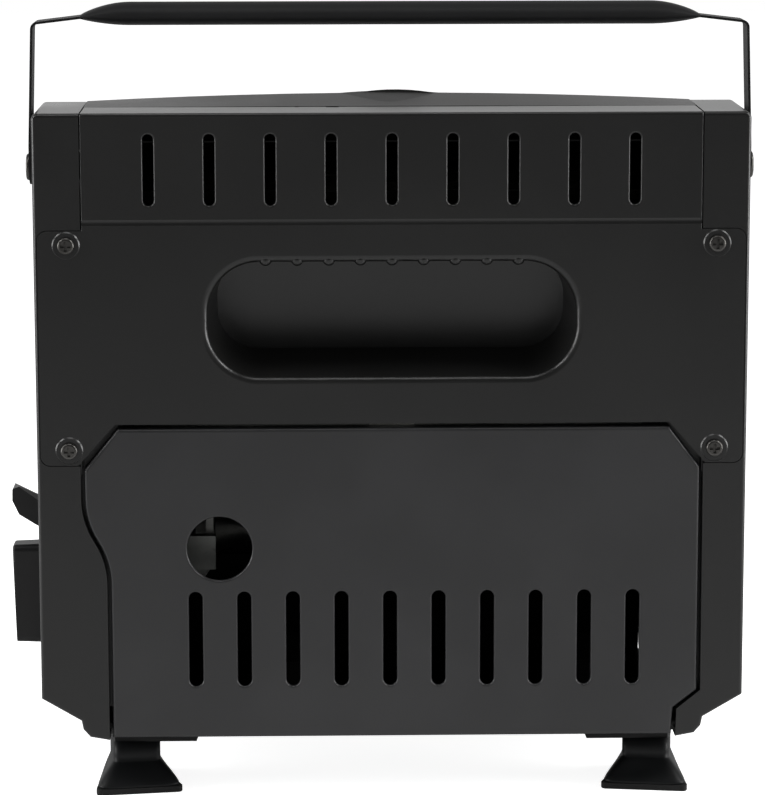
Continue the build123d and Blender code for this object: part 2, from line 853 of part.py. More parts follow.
gas_pipe = tube(
    [(118, 18, 84), (118, -6, 84), (105, -19, venturi_z), (105, venturi_y + 7, venturi_z)],
    6,
    2.0,
)
save(gas_pipe, "gas_pipe")

# ---- Regulator -------------------------------------------------------------------------
housing_x = 92.0
housing_z = 92.0
with BuildPart() as regulator_body:
    add(turned_rod(84, 106, cartridge_y, cartridge_z, 15.5))
    add(turned_rod(81, 84, cartridge_y, cartridge_z, 10))
    with BuildSketch(upright(18)):
        with Locations((housing_x, housing_z)):
            Circle(19)
    extrude(amount=14)
    with BuildSketch(upright(24)):
        with Locations((housing_x, housing_z)):
            Circle(11.5)
    extrude(amount=8)
    # Lug that the valve bolts to, and the rails of the collar slider.
    add(block(92, 114.4, 22, 40, 66, 86))
    add(block(86, 104, 22.6, 24.8, 96, 113.5))
    add(block(86, 104, 41.2, 43.4, 96, 113.5))
    # Locating tab that enters the notch of the cartridge's collar, and its root.
    add(block(72, 86, 44.6, 49.6, 90, 104))
    add(block(84, 94, 38, 49.6, 90, 104))
    with BuildSketch(across(80)):
        with Locations((cartridge_y, cartridge_z)):
            Circle(5.5)
    extrude(amount=9, mode=Mode.SUBTRACT)
    # Chamber behind the diaphragm.
    with BuildSketch(upright(4)):
        with Locations((housing_x, housing_z)):
            Circle(15)
    extrude(amount=-6, mode=Mode.SUBTRACT)
save(regulator_body.part, "regulator_body")

with BuildPart() as cartridge_seal:
    with BuildSketch(across(81.4)):
        with Locations((cartridge_y, cartridge_z)):
            Circle(5.45)
            Circle(2.4, mode=Mode.SUBTRACT)
    extrude(amount=6)
save(cartridge_seal.part, "cartridge_seal")

with BuildPart() as regulator_diaphragm:
    with BuildSketch(upright(4)):
        with Locations((housing_x, housing_z)):
            Circle(18.6)
    extrude(amount=0.8)
save(regulator_diaphragm.part, "regulator_diaphragm")

with BuildPart() as regulator_cap:
    with BuildSketch(upright(3.2)):
        with Locations((housing_x, housing_z)):
            Circle(19)
    extrude(amount=2.4)
    with BuildSketch(upright(0.8)):
        with Locations((housing_x, housing_z)):
            Circle(13)
    extrude(amount=7, taper=8)
    fillet(regulator_cap.faces().sort_by(Axis.Y)[0].edges(), 2)
    with BuildSketch(upright(3.2)):
        with Locations((housing_x, housing_z)):
            Circle(10)
    extrude(amount=7.5, mode=Mode.SUBTRACT)
save(regulator_cap.part, "regulator_cap")

with BuildPart() as diaphragm_spring:
    with BuildLine() as coil:
        Helix(1.7, 5.0, 5, center=(mid_x + housing_x, 2.4, housing_z), direction=(0, -1, 0))
    with BuildSketch(Plane(origin=coil.line @ 0, z_dir=coil.line % 0)):
        Circle(0.5)
    sweep(is_frenet=True)
save(diaphragm_spring.part, "diaphragm_spring")

with BuildPart() as regulator_bracket:
    with BuildSketch(across(93)):
        with BuildLine():
            Polyline((22.6, 65.4), (40.0, 65.4), (40.0, belly_z + 2.0), (24.0, belly_z + 2.0))
        trace(line_width=sheet)
    extrude(amount=18)
save(regulator_bracket.part, "regulator_bracket")

# ---- Collar slider ---------------------------------------------------------------------
with BuildPart() as collar_slider:
    # A bar over the regulator and a fork that straddles the neck of the cartridge.
    add(block(73, 133, 25, 41, 110.2, 113.2))
    add(block(73, 76, 22, 44, 92, 113.2))
    add(turned_rod(72, 77, cartridge_y, cartridge_z, 8.2), mode=Mode.SUBTRACT)
    add(block(124.9, 131.1, 26, 34, 109, 114), mode=Mode.SUBTRACT)
    add(block(84, 110, 31, 35, 109, 114), mode=Mode.SUBTRACT)
save(collar_slider.part, "collar_slider")

with BuildPart() as slider_retainer:
    add(block(88, 102, 22.6, 43.4, 113.5, 114.7))
save(slider_retainer.part, "slider_retainer")

# ---- Lock lever ------------------------------------------------------------------------
lean = radians(lever_angle)
lever_seat = Plane(
    origin=(mid_x + lever_x, lever_y + 6, lever_z), x_dir=(cos(lean), 0, sin(lean)), z_dir=(0, -1, 0)
)
with BuildPart() as lock_lever:
    with BuildSketch(lever_seat):
        Circle(4.6)
        with Locations((14, 0)):
            Rectangle(28, 5)
        Circle(2.05, mode=Mode.SUBTRACT)
    extrude(amount=12)
    with BuildSketch(upright(lever_y + 3)):
        with Locations((lever_x, lever_z + 8.5)):
            Rectangle(4, 12)
    extrude(amount=6)
save(lock_lever.part, "lock_lever")

with BuildPart() as lever_pad:
    with BuildSketch(
        Plane(
            origin=(mid_x + lever_x, lever_y + 9, lever_z),
            x_dir=(cos(lean), 0, sin(lean)),
            z_dir=(0, -1, 0),
        )
    ):
        with BuildLine():
            Polyline(
                (11.5, -4.8),
                (11.5, 4.8),
                (22.5, 5.0),
                (31.3, 6.5),
                (33.3, 4.4),
                (31.2, 0),
                (26.2, -4.0),
                (18.0, -4.8),
                close=True,
            )
        make_face()
        fillet(vertices().sort_by(Axis.X)[-4:], 0.8)
    extrude(amount=18)
    # Its upper face falls away towards the front.
    with BuildSketch(
        Plane(
            origin=(mid_x + lever_x, lever_y, lever_z),
            x_dir=(0, 1, 0),
            z_dir=(cos(lean), 0, sin(lean)),
        )
    ):
        Polygon((9.1, 6.9), (9.1, 9), (-9.1, 9), (-9.1, 3.35), align=None)
    extrude(amount=40, mode=Mode.SUBTRACT)
    add(block(half_width - 20, half_width + 0.9, 0, 60, 80, 140), mode=Mode.SUBTRACT)
    with BuildSketch(
        Plane(
            origin=(mid_x + lever_x, lever_y + 6.05, lever_z),
            x_dir=(cos(lean), 0, sin(lean)),
            z_dir=(0, -1, 0),
        )
    ):
        with Locations((14, 0)):
            Rectangle(28.2, 5.1)
    extrude(amount=12.1, mode=Mode.SUBTRACT)
save(lever_pad.part, "lever_pad")

with BuildPart() as lever_pin:
    with BuildSketch(upright(lever_y + 13)):
        with Locations((lever_x, lever_z)):
            Circle(2.0)
    extrude(amount=26)
save(lever_pin.part, "lever_pin")

with BuildPart() as lever_bracket:
    add(block(122, 130, lever_y - 12.6, lever_y + 12.6, 89.0, 90.2))
    for y in (lever_y - 12.6, lever_y + 11.4):
        add(block(122, 133, y, y + sheet, 89.0, 108.2))
    with BuildSketch(upright(lever_y + 14)):
        with Locations((lever_x, lever_z)):
            Circle(2.02)
    extrude(amount=28, mode=Mode.SUBTRACT)
save(lever_bracket.part, "lever_bracket")

# ---- Valve, knob and igniter -----------------------------------------------------------
with BuildPart() as valve_body:
    add(block(114.5, 127, knob_y - 12, knob_y + 12, knob_z - 12, knob_z + 12))
    chamfer(valve_body.edges().filter_by(Axis.X), 1.5)
    add(turned_rod(127, 130.0, knob_y, knob_z, 7))
    add(turned_rod(117, 131.0, knob_y, knob_z, shaft_r + 0.05), mode=Mode.SUBTRACT)
save(valve_body.part, "valve_body")

with BuildPart() as valve_shaft:
    add(turned_rod(118, 151.0, knob_y, knob_z, shaft_r))
    add(block(141, 152, knob_y - 4, knob_y + 4, knob_z + 1.5, knob_z + 4), mode=Mode.SUBTRACT)
    # The cam that cocks and trips the igniter.
    with BuildSketch(across(130.6)):
        with Locations((knob_y, knob_z)):
            Circle(6)
        with Locations((knob_y - 6, knob_z)):
            Circle(2.4)
    extrude(amount=3)
save(valve_shaft.part, "valve_shaft")

with BuildPart() as piezo_igniter:
    with BuildSketch(upright(knob_y - 12)):
        with Locations((121, 71)):
            Circle(6)
    extrude(amount=34)
    fillet(piezo_igniter.faces().sort_by(Axis.Y)[0].edges(), 1.5)
save(piezo_igniter.part, "piezo_igniter")

knob_bore_r = shaft_r + 0.02
with BuildPart() as control_knob:
    with BuildSketch(across(139.4)):
        with Locations((knob_y, knob_z)):
            Circle(17)
    extrude(amount=3.8)
    with BuildSketch(across(half_width + 0.6)):
        with Locations((knob_y, knob_z)):
            RectangleRounded(14, 2 * knob_half_height, 3)
    extrude(amount=knob_tip_x - half_width - 0.6, taper=2)
    fillet(control_knob.faces().sort_by(Axis.X)[-1].edges(), 1.2)
    # The grip's end face slopes, so that it is lower at the pointer's tail.
    with BuildSketch(upright(knob_y + 10)):
        with BuildLine():
            Polyline(
                (knob_tip_x, knob_z + knob_half_height),
                (knob_tip_x - 1.2, knob_z - knob_half_height),
                (knob_tip_x + 3, knob_z - knob_half_height),
                (knob_tip_x + 3, knob_z + knob_half_height),
                close=True,
            )
        make_face()
    extrude(amount=20, mode=Mode.SUBTRACT)
    with BuildSketch(across(139)):
        with Locations((knob_y, knob_z)):
            Circle(knob_bore_r)
            with Locations((0, 3.02)):
                Rectangle(8, 3, mode=Mode.SUBTRACT)
    extrude(amount=12.2, mode=Mode.SUBTRACT)
    add(turned_rod(138, 141, knob_y, knob_z, knob_bore_r), mode=Mode.SUBTRACT)
save(control_knob.part, "control_knob")

piezo_front_y = knob_y - 12 - 34
igniter_lead = tube(
    [
        (46, *face_point(probe_v, -38)),
        (108, -15, 112),
        (121, -32, 94),
        (121, -34, 71),
        (121, piezo_front_y, 71),
    ],
    [10, 10, 8],
    1.2,
)
save(igniter_lead, "igniter_lead")

with BuildPart() as electrode_insulator:
    with BuildSketch(on_face(-35)):
        with Locations((electrode_u, probe_v)):
            Circle(2.6)
            Circle(0.82, mode=Mode.SUBTRACT)
    extrude(amount=22)
save(electrode_insulator.part, "electrode_insulator")

with BuildPart() as electrode_rod:
    with BuildLine() as bent:
        FilletPolyline(
            *[
                (mid_x + electrode_u, *face_point(v, w))
                for v, w in ((probe_v, -40), (probe_v, -9), (-39, -11))
            ],
            radius=3
        )
    with BuildSketch(Plane(origin=bent.line @ 0, z_dir=bent.line % 0)):
        Circle(0.8)
    sweep()
save(electrode_rod.part, "electrode_rod")

with BuildPart() as probe_brackets:
    for u in (electrode_u, thermocouple_u):
        with BuildSketch(on_face(-29)):
            with Locations((u, probe_v - 0.5)):
                Rectangle(14, 10)
            with Locations((u, probe_v)):
                Circle(2.65, mode=Mode.SUBTRACT)
        extrude(amount=-1)
        with BuildSketch(on_face(-30)):
            with Locations((u, burner_v - box_height / 2 - 0.6)):
                Rectangle(14, 1.2)
        extrude(amount=-10)
save(probe_brackets.part, "probe_brackets")

with BuildPart() as thermocouple:
    with BuildSketch(on_face(-35)):
        with Locations((thermocouple_u, probe_v)):
            Circle(2.6)
    extrude(amount=19)
    with BuildSketch(on_face(-16)):
        with Locations((thermocouple_u, probe_v)):
            Circle(1.5)
    extrude(amount=8)
save(thermocouple.part, "thermocouple")

thermocouple_lead = tube(
    [
        (thermocouple_u, *face_point(probe_v, -35)),
        (thermocouple_u, *face_point(probe_v, -42)),
        (70, *face_point(probe_v - 9, -42)),
        (123, -14, 100),
        (123, 2, 84),
        (123, knob_y - 12, 84),
    ],
    [5, 14, 8, 8],
    1.0,
)
save(thermocouple_lead, "thermocouple_lead")

# ---- Cartridge saddles: a ramp at the door side, a stop at the front -------------------
with BuildPart() as cartridge_saddles:
    for x in (-83.0, 41.0):
        with BuildSketch(across(x - 8)):
            with BuildLine():
                Polyline((46.0, 49.5), (38.5, 58.8), (19.0, 58.8), (0.0, 74.0))
            trace(line_width=sheet)
            with Locations((32.0, (belly_z + 1.4 + 58.5) / 2)):
                Rectangle(sheet, 58.5 - belly_z - 1.4)
            with Locations((26.0, belly_z + 2.0)):
                Rectangle(13.0, sheet)
        extrude(amount=16)
save(cartridge_saddles.part, "cartridge_saddles")

# ---- Base pan --------------------------------------------------------------------------
feet = [(sx, sy) for sx in (-1, 1) for sy in (-1, 1)]
pan_front_y = fascia_y + 7.3
pan_lip_z = 70.0  # the lip is a baffle behind the fascia's louvres
with BuildPart() as base_pan:
    add(block(-113.9, 113.9, pan_front_y, 63.5, belly_z, belly_z + 1.4))
    add(block(-113.9, 113.9, pan_front_y - 1.4, pan_front_y, belly_z, pan_lip_z))
    for sx, sy in feet:
        with BuildSketch(upright(sy * foot_y + 11)):
            with BuildLine():
                Polyline(
                    (sx * 78.6, belly_z),
                    (sx * 80.4, belly_z - foot_boss),
                    (sx * 113.9, belly_z - foot_boss),
                    (sx * 113.9, belly_z),
                    close=True,
                )
            make_face()
        extrude(amount=22)
    with BuildSketch(level(belly_z - foot_boss - 1)):
        with Locations(*[(sx * foot_x, sy * foot_y) for sx, sy in feet]):
            Circle(screw_hole_r)
        for sx in (-1, 1):
            with Locations((sx * 106, -6), (sx * 106, 6)):
                Circle(screw_hole_r)
    extrude(amount=10, mode=Mode.SUBTRACT)
save(base_pan.part, "base_pan")


def under_seat(x, y, z):
    """Screw seat that faces down."""
    return Plane(origin=(mid_x + x, y, z), x_dir=(1, 0, 0), z_dir=(0, 0, -1))


panel_seats = [under_seat(s * 106, y, belly_z) for s in (-1, 1) for y in (-6, 6)]
save(screws_at(panel_seats, 3.0, 1.8, 5.0), "base_screws")


# ---- Feet ------------------------------------------------------------------------------
def foot_plane(sx, sy, z):
    """Level plane at a foot, turned by its splay."""
    turn = radians(sx * sy * foot_splay)
    return Plane(
        origin=(mid_x + sx * foot_x, sy * foot_y, z), x_dir=(cos(turn), sin(turn), 0), z_dir=(0, 0, 1)
    )


def foot_outline(sy, spread):
    """A foot's outline: the neck's at spread 0, the sole's at spread 1."""
    rear, front = 9.8 + 8.3 * spread, 9.8 + 1.2 * spread
    Polygon(
        (-rear, sy * (12 + 8 * spread)),
        (rear, sy * (12 + 8 * spread)),
        (front, sy * (-8 - 8 * spread)),
        (-front, sy * (-8 - 8 * spread)),
        align=None,
    )
    fillet(vertices(), 2.0)


def foot(sx, sy):
    """A moulded foot: square neck, toe that swells out towards the sole."""
    with BuildPart() as solid:
        for z, spread in ((pad_thick, 0.97), (3.8, 0.92), (5.8, 0.77), (8.3, 0.48), (toe_top_z, 0.04)):
            with BuildSketch(foot_plane(sx, sy, z)):
                foot_outline(sy, spread)
        loft(ruled=True)
        with BuildSketch(foot_plane(sx, sy, toe_top_z)):
            foot_outline(sy, 0)
        extrude(amount=belly_z - foot_boss - toe_top_z)
        with BuildSketch(foot_plane(sx, sy, belly_z)):
            Circle(screw_hole_r)
        extrude(amount=-16, mode=Mode.SUBTRACT)
    return solid.part


def foot_pad(sx, sy):
    """The rubber sole of a foot."""
    with BuildPart() as sole:
        with BuildSketch(foot_plane(sx, sy, 0)):
            foot_outline(sy, 1)
        extrude(amount=pad_thick)
        fillet(sole.faces().sort_by(Axis.Z)[0].edges(), 0.6)
    return sole.part


foot_names = {(-1, -1): "left_front", (-1, 1): "left_rear", (1, -1): "right_front", (1, 1): "right_rear"}
for corner, place in foot_names.items():
    save(foot(*corner), place + "_foot")
save(Compound(children=[foot_pad(sx, sy) for sx, sy in feet]), "foot_pads")


def over_seat(x, y, z):
    """Screw seat that faces up."""
    return Plane(origin=(mid_x + x, y, z), x_dir=(1, 0, 0), z_dir=(0, 0, 1))


foot_seats = [over_seat(sx * foot_x, sy * foot_y, belly_z + 1.4) for sx, sy in feet]
save(screws_at(foot_seats, 3.2, 1.8, 14.0), "foot_screws")

# ---- Bail handle -----------------------------------------------------------------------
with BuildPart() as handle_strap:
    with BuildSketch(upright(pivot_y + strap_width / 2)):
        with BuildLine():
            FilletPolyline(
                (strap_x, pivot_z),
                (strap_x, pivot_z + 9),
                (strap_shoulder_x, strap_shoulder_z),
                (grip_half_length, strap_top_z),
                (-grip_half_length, strap_top_z),
                (-strap_shoulder_x, strap_shoulder_z),
                (-strap_x, pivot_z + 9),
                (-strap_x, pivot_z),
                radius=strap_bend_r,
            )
        trace(line_width=strap_thick)
    extrude(amount=strap_width)
    for x in (-strap_x, strap_x):
        with BuildSketch(across(x - strap_thick / 2)):
            with Locations((pivot_y, pivot_z)):
                Circle(strap_width / 2)
        extrude(amount=strap_thick)
        with BuildSketch(across(x - 2)):
            with Locations((pivot_y, pivot_z)):
                Circle(2.56)
        extrude(amount=4, mode=Mode.SUBTRACT)
save(handle_strap.part, "handle_strap")

with BuildPart() as handle_grip:
    for x, share in (
        (-grip_half_length, 0.3),
        (-grip_half_length + 3.5, 0.52),
        (-grip_half_length + 9, 0.79),
        (-grip_half_length + 20, 1.0),
        (grip_half_length - 20, 1.0),
        (grip_half_length - 9, 0.79),
        (grip_half_length - 3.5, 0.52),
        (grip_half_length, 0.3),
    ):
        tip_width = strap_width + 1.6
        with BuildSketch(across(x)):
            with Locations((pivot_y, strap_top_z + (grip_z - strap_top_z) * share)):
                Ellipse((tip_width + (grip_width - tip_width) * share) / 2, grip_thick * share / 2)
    loft(ruled=True)
    with BuildSketch(across(-130)):
        with Locations((pivot_y, strap_top_z)):
            Rectangle(strap_width + 0.1, strap_thick + 0.1)
    extrude(amount=260, mode=Mode.SUBTRACT)
save(handle_grip.part, "handle_grip")


def pivot_screw(side):
    """Shouldered screw the handle turns on."""
    shank = sorted((side * (half_width - 6.5), side * pivot_head_x))
    head = sorted((side * pivot_head_x, side * (pivot_head_x + pivot_head)))
    with BuildPart() as screw:
        add(turned_rod(*shank, pivot_y, pivot_z, 2.5))
        add(turned_rod(*head, pivot_y, pivot_z, 5.4))
        fillet(screw.faces().sort_by(Axis.X)[-1 if side > 0 else 0].edges(), 0.9)
    return screw.part


save(Compound(children=[pivot_screw(-1), pivot_screw(1)]), "handle_pivot_screws")


def ring(x0, x1, outer, inner):
    """A washer round the handle's pivot."""
    with BuildPart() as washer:
        add(turned_rod(x0, x1, pivot_y, pivot_z, outer))
        add(turned_rod(x0 - 1, x1 + 1, pivot_y, pivot_z, inner), mode=Mode.SUBTRACT)
    return washer.part


washer_x = strap_x - strap_thick / 2 - 0.1
washers = [ring(half_width, washer_x, 6.2, 2.55), ring(-washer_x, -half_width, 6.2, 2.55)]
save(Compound(children=washers), "handle_washers")


def pivot_nut(x):
    """Nut inside the panel, on the pivot screw."""
    with BuildPart() as nut:
        with BuildSketch(across(x)):
            with Locations((pivot_y, pivot_z)):
                RegularPolygon(4.8, 6)
                Circle(2.52, mode=Mode.SUBTRACT)
        extrude(amount=4)
    return nut.part


save(Compound(children=[pivot_nut(half_width - 9), pivot_nut(5 - half_width)]), "handle_pivot_nuts")


# ---- Wire guard ------------------------------------------------------------------------
def guard_wire(v):
    """One bowed wire of the guard."""
    with BuildPart() as wire:
        with BuildLine() as path:
            FilletPolyline(
                *[
                    (mid_x + u, *face_point(v, w))
                    for u, w in ((-106.5, 1.6), (-96, 10), (96, 10), (106.5, 1.6))
                ],
                radius=8
            )
        with BuildSketch(Plane(origin=path.line @ 0, z_dir=path.line % 0)):
            Circle(1.2)
        sweep()
    return wire.part


guard_top_v = burner_v + 73
guard_bottom_v = burner_v - 73
with BuildPart() as wire_guard:
    with BuildLine(on_face(1.6)) as frame_path:
        FilletPolyline(
            (106.5, guard_bottom_v),
            (106.5, guard_top_v),
            (-106.5, guard_top_v),
            (-106.5, guard_bottom_v),
            close=True,
            radius=12,
        )
    with BuildSketch(Plane(origin=frame_path.line @ 0, z_dir=frame_path.line % 0)):
        Circle(1.5)
    sweep()
    for row in range(11):
        add(guard_wire(burner_v + (row - 5) * 12.6))
    for u in (-48, 48):
        with BuildSketch(up_face(u, burner_v - 65, 8.6)):
            Circle(1.2)
        extrude(amount=130)
save(wire_guard.part, "wire_guard")
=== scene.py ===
import json
from math import cos, radians, sin, tan

import bmesh
import bpy
import numpy as np
from mathutils import Matrix


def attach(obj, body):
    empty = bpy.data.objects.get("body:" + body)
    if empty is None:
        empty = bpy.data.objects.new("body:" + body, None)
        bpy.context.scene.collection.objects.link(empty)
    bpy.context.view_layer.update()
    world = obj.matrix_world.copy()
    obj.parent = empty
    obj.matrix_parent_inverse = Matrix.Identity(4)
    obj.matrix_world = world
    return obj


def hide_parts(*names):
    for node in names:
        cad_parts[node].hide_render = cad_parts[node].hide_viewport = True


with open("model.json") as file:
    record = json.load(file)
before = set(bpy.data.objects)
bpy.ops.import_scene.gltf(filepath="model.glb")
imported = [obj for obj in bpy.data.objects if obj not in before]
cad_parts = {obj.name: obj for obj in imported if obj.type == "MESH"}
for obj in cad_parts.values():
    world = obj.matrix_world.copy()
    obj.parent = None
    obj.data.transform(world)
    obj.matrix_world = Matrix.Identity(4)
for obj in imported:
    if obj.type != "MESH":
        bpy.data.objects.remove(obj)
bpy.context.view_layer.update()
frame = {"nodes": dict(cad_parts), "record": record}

nodes = frame["nodes"]
scene = bpy.context.scene

# ---- Camera ----------------------------------------------------------------------------
CAMERA_PLACE = (0.0283, 1.4220, 0.4037)
CAMERA_TILT = radians(10.01)
CAMERA_YAW = radians(-1.253)
CAMERA_ROLL = radians(-0.085)
FOCAL_LENGTH, SENSOR_WIDTH = 154.73, 36.0  # mm


def turned(first, second, angle):
    """Two axes turned in their own plane: each becomes cosine of itself plus sine of the other."""
    return (cos(angle) * first + sin(angle) * second, cos(angle) * second - sin(angle) * first)


def place_camera():
    """The camera looks at the back, along -Y: yaw about the upright, tilt down, then roll."""
    right, ahead = turned(np.array([-1.0, 0, 0]), np.array([0, -1.0, 0]), CAMERA_YAW)
    up = np.array([0, 0, 1.0])
    up, ahead = turned(up, ahead, CAMERA_TILT)
    right, up = turned(right, up, CAMERA_ROLL)
    lens = bpy.data.cameras.new("camera")
    lens.sensor_width = SENSOR_WIDTH
    lens.lens = FOCAL_LENGTH
    camera = bpy.data.objects.new("camera", lens)
    turn = Matrix(np.array([right, up, -ahead]).T.tolist()).to_4x4()
    camera.matrix_world = Matrix.Translation(CAMERA_PLACE) @ turn
    scene.collection.objects.link(camera)
    scene.camera = camera


place_camera()
scene.view_settings.view_transform = "Standard"


# ---- Shader maths ----------------------------------------------------------------------
class Value:
    """One output of a node; arithmetic on it adds Math nodes to the same tree."""

    def __init__(self, graph, out):
        self.graph = graph
        self.out = out

    def maths(self, operation, *values):
        """A Math node on these values, in their order."""
        return self.graph.add("ShaderNodeMath", {"operation": operation}, dict(enumerate(values)))

    def __add__(self, other):
        return self.maths("ADD", self, other)

    __radd__ = __add__

    def __sub__(self, other):
        return self.maths("SUBTRACT", self, other)

    def __rsub__(self, other):
        return self.maths("SUBTRACT", other, self)

    def __mul__(self, other):
        return self.maths("MULTIPLY", self, other)

    __rmul__ = __mul__

    def step(self, low, high):
        """0 below low, 1 above high, and a ramp with soft ends between them."""
        settings = {"interpolation_type": "SMOOTHSTEP", "clamp": True}
        sockets = {"Value": self, "From Min": low, "From Max": high}
        return self.graph.add("ShaderNodeMapRange", settings, sockets)


class Graph:
    """A node tree under construction."""

    def __init__(self, tree):
        self.tree = tree
        tree.nodes.clear()

    def add(self, kind, settings=None, sockets=None, output=0):
        """A node of that kind: its settings first, then the values or links of its sockets."""
        node = self.tree.nodes.new(kind)
        for name, setting in (settings or {}).items():
            setattr(node, name, setting)
        for name, value in (sockets or {}).items():
            if isinstance(value, Value):
                self.tree.links.new(value.out, node.inputs[name])
            else:
                node.inputs[name].default_value = value
        return Value(self, node.outputs[output])

    def end(self, kind, shader):
        """The tree's last node, which takes the finished shader."""
        self.tree.links.new(shader.out, self.tree.nodes.new(kind).inputs["Surface"])

    def mix(self, factor, first, second):
        """Colour first where factor is 0, second where it is 1."""
        first, second = (c if isinstance(c, Value) else (*c, 1.0) for c in (first, second))
        return self.add("ShaderNodeMix", {"data_type": "RGBA"}, {0: factor, 6: first, 7: second}, 2)


class Finish(Graph):
    """A material: a Principled shader whose colour, roughness and bump come from textures."""

    def __init__(self, name, **constants):
        self.material = bpy.data.materials.new(name)
        self.material.use_nodes = True
        super().__init__(self.material.node_tree)
        self.shader = self.tree.nodes.new("ShaderNodeBsdfPrincipled")
        output = self.tree.nodes.new("ShaderNodeOutputMaterial")
        self.tree.links.new(self.shader.outputs[0], output.inputs[0])
        for socket, value in constants.items():
            self.shader.inputs[socket.replace("_", " ")].default_value = value
        self.place = self.add("ShaderNodeTexCoord", output=3)

    def set(self, socket, value):
        """Let a value drive one of the shader's sockets."""
        self.tree.links.new(value.out, self.shader.inputs[socket])

    def stretched(self, scale):
        """The place on the piece, scaled by a different amount along each axis."""
        return self.add("ShaderNodeMapping", {}, {"Vector": self.place, "Scale": scale})

    def noise(self, scale, detail=2.0, place=None, roughness=0.5):
        """Cloudy noise: scale in cycles per metre, detail in octaves."""
        sockets = {
            "Vector": place or self.place, "Scale": scale, "Detail": detail, "Roughness": roughness
        }
        return self.add("ShaderNodeTexNoise", {}, sockets)

    def cells(self, scale):
        """Distance to the nearest of scattered points."""
        return self.add("ShaderNodeTexVoronoi", {}, {"Vector": self.place, "Scale": scale})

    def bump(self, height, depth):
        """Raise the surface by height times depth, in metres."""
        sockets = {"Height": height, "Distance": depth, "Strength": 1.0}
        self.set("Normal", self.add("ShaderNodeBump", {}, sockets))


def shade(colour, factor):
    """A colour made darker or lighter by a factor."""
    return tuple(min(1.0, c * factor) for c in colour)


def grained_plastic(name, colour, roughness, grain=1.0, specular=0.5):
    """Moulded plastic: spark-eroded grain, faint mottling, rubbed patches and dust specks."""
    f = Finish(name, Specular_IOR_Level=specular)
    mottle = f.noise(22.0, 4.0)
    fine = f.noise(1900.0, 2.0)
    specks = f.cells(420.0)
    dust = 1 - specks.step(0.02, 0.055)
    base = f.mix(mottle.step(0.35, 0.7), shade(colour, 0.86), shade(colour, 1.14))
    base = f.mix(dust * mottle.step(0.52, 0.68) * 0.35, base, (0.16, 0.15, 0.14))
    f.set("Base Color", base)
    rubbed = f.noise(9.0, 6.0, roughness=0.62).step(0.5, 0.72)
    f.set("Roughness", roughness + (fine - 0.5) * 0.10 - rubbed * 0.05 + (mottle - 0.5) * 0.04)
    f.bump(fine + f.noise(620.0, 1.0) * 0.5, 0.00002 * grain)
    return f.material


def enamel(name, colour, roughness):
    """Sprayed stove enamel on steel sheet: orange peel, fine pits, slight thinning."""
    f = Finish(name, Specular_IOR_Level=0.2)
    peel = f.noise(380.0, 2.0)
    cloud = f.noise(14.0, 4.0)
    f.set("Base Color", f.mix(cloud.step(0.3, 0.72), shade(colour, 0.8), shade(colour, 1.2)))
    f.set("Roughness", roughness + (cloud - 0.5) * 0.08 + (peel - 0.5) * 0.08)
    pits = 1 - f.cells(900.0).step(0.0, 0.12)
    f.bump(peel - pits * 0.25, 0.00003)
    return f.material


def rolled_steel(name, colour, roughness, tint=None):
    """Rolled or plated sheet: long fine streaks along x, with cloudy plating or heat tint."""
    f = Finish(name, Metallic=1.0)
    streaks = f.noise(1.0, 3.0, f.stretched((40.0, 1400.0, 1400.0)))
    cloud = f.noise(30.0, 5.0, roughness=0.6)
    base = f.mix(streaks.step(0.3, 0.7), shade(colour, 0.82), colour)
    base = f.mix(cloud.step(0.4, 0.75) * 0.5, base, shade(colour, 0.68))
    if tint:
        base = f.mix(f.noise(18.0, 2.0).step(0.42, 0.7) * 0.55, base, tint)
    f.set("Base Color", base)
    f.set("Roughness", roughness + (streaks - 0.5) * 0.16 + cloud.step(0.4, 0.8) * 0.14)
    f.bump(streaks, 0.000008)
    return f.material


def cast_metal(name, colour, roughness):
    """Die cast alloy: fine sandy skin with flow marks and dark specks."""
    f = Finish(name, Metallic=1.0)
    skin = f.noise(1300.0, 3.0)
    flow = f.noise(60.0, 4.0, f.stretched((1.0, 2.4, 0.7)))
    base = f.mix(flow.step(0.3, 0.7), shade(colour, 0.72), colour)
    f.set("Base Color", f.mix(f.noise(240.0, 2.0).step(0.62, 0.8), base, shade(colour, 0.45)))
    f.set("Roughness", roughness + (skin - 0.5) * 0.2 + (flow - 0.5) * 0.12)
    f.bump(skin, 0.00004)
    return f.material


def turned_metal(name, colour, roughness, dull):
    """Machined rod and bar: fine tool rings across x, with a thin tarnish."""
    f = Finish(name, Metallic=1.0)
    rings = f.noise(1.0, 2.0, f.stretched((3200.0, 60.0, 60.0)))
    tarnish = f.noise(90.0, 5.0, roughness=0.6).step(0.42, 0.72)
    f.set("Base Color", f.mix(tarnish * 0.6, f.mix(rings, shade(colour, 0.85), colour), dull))
    f.set("Roughness", roughness + (rings - 0.5) * 0.12 + tarnish * 0.15)
    f.bump(rings, 0.00001)
    return f.material


def soft_rubber(name, colour, roughness):
    """Moulded rubber: dull, slightly dusty, with a fine pebble."""
    f = Finish(name, Specular_IOR_Level=0.35)
    pebble = f.noise(900.0, 2.0)
    dust = f.noise(70.0, 5.0, roughness=0.65).step(0.45, 0.75)
    f.set("Base Color", f.mix(dust * 0.5, colour, shade(colour, 2.2)))
    f.set("Roughness", roughness + (pebble - 0.5) * 0.15 + dust * 0.08)
    f.bump(pebble, 0.00005)
    return f.material


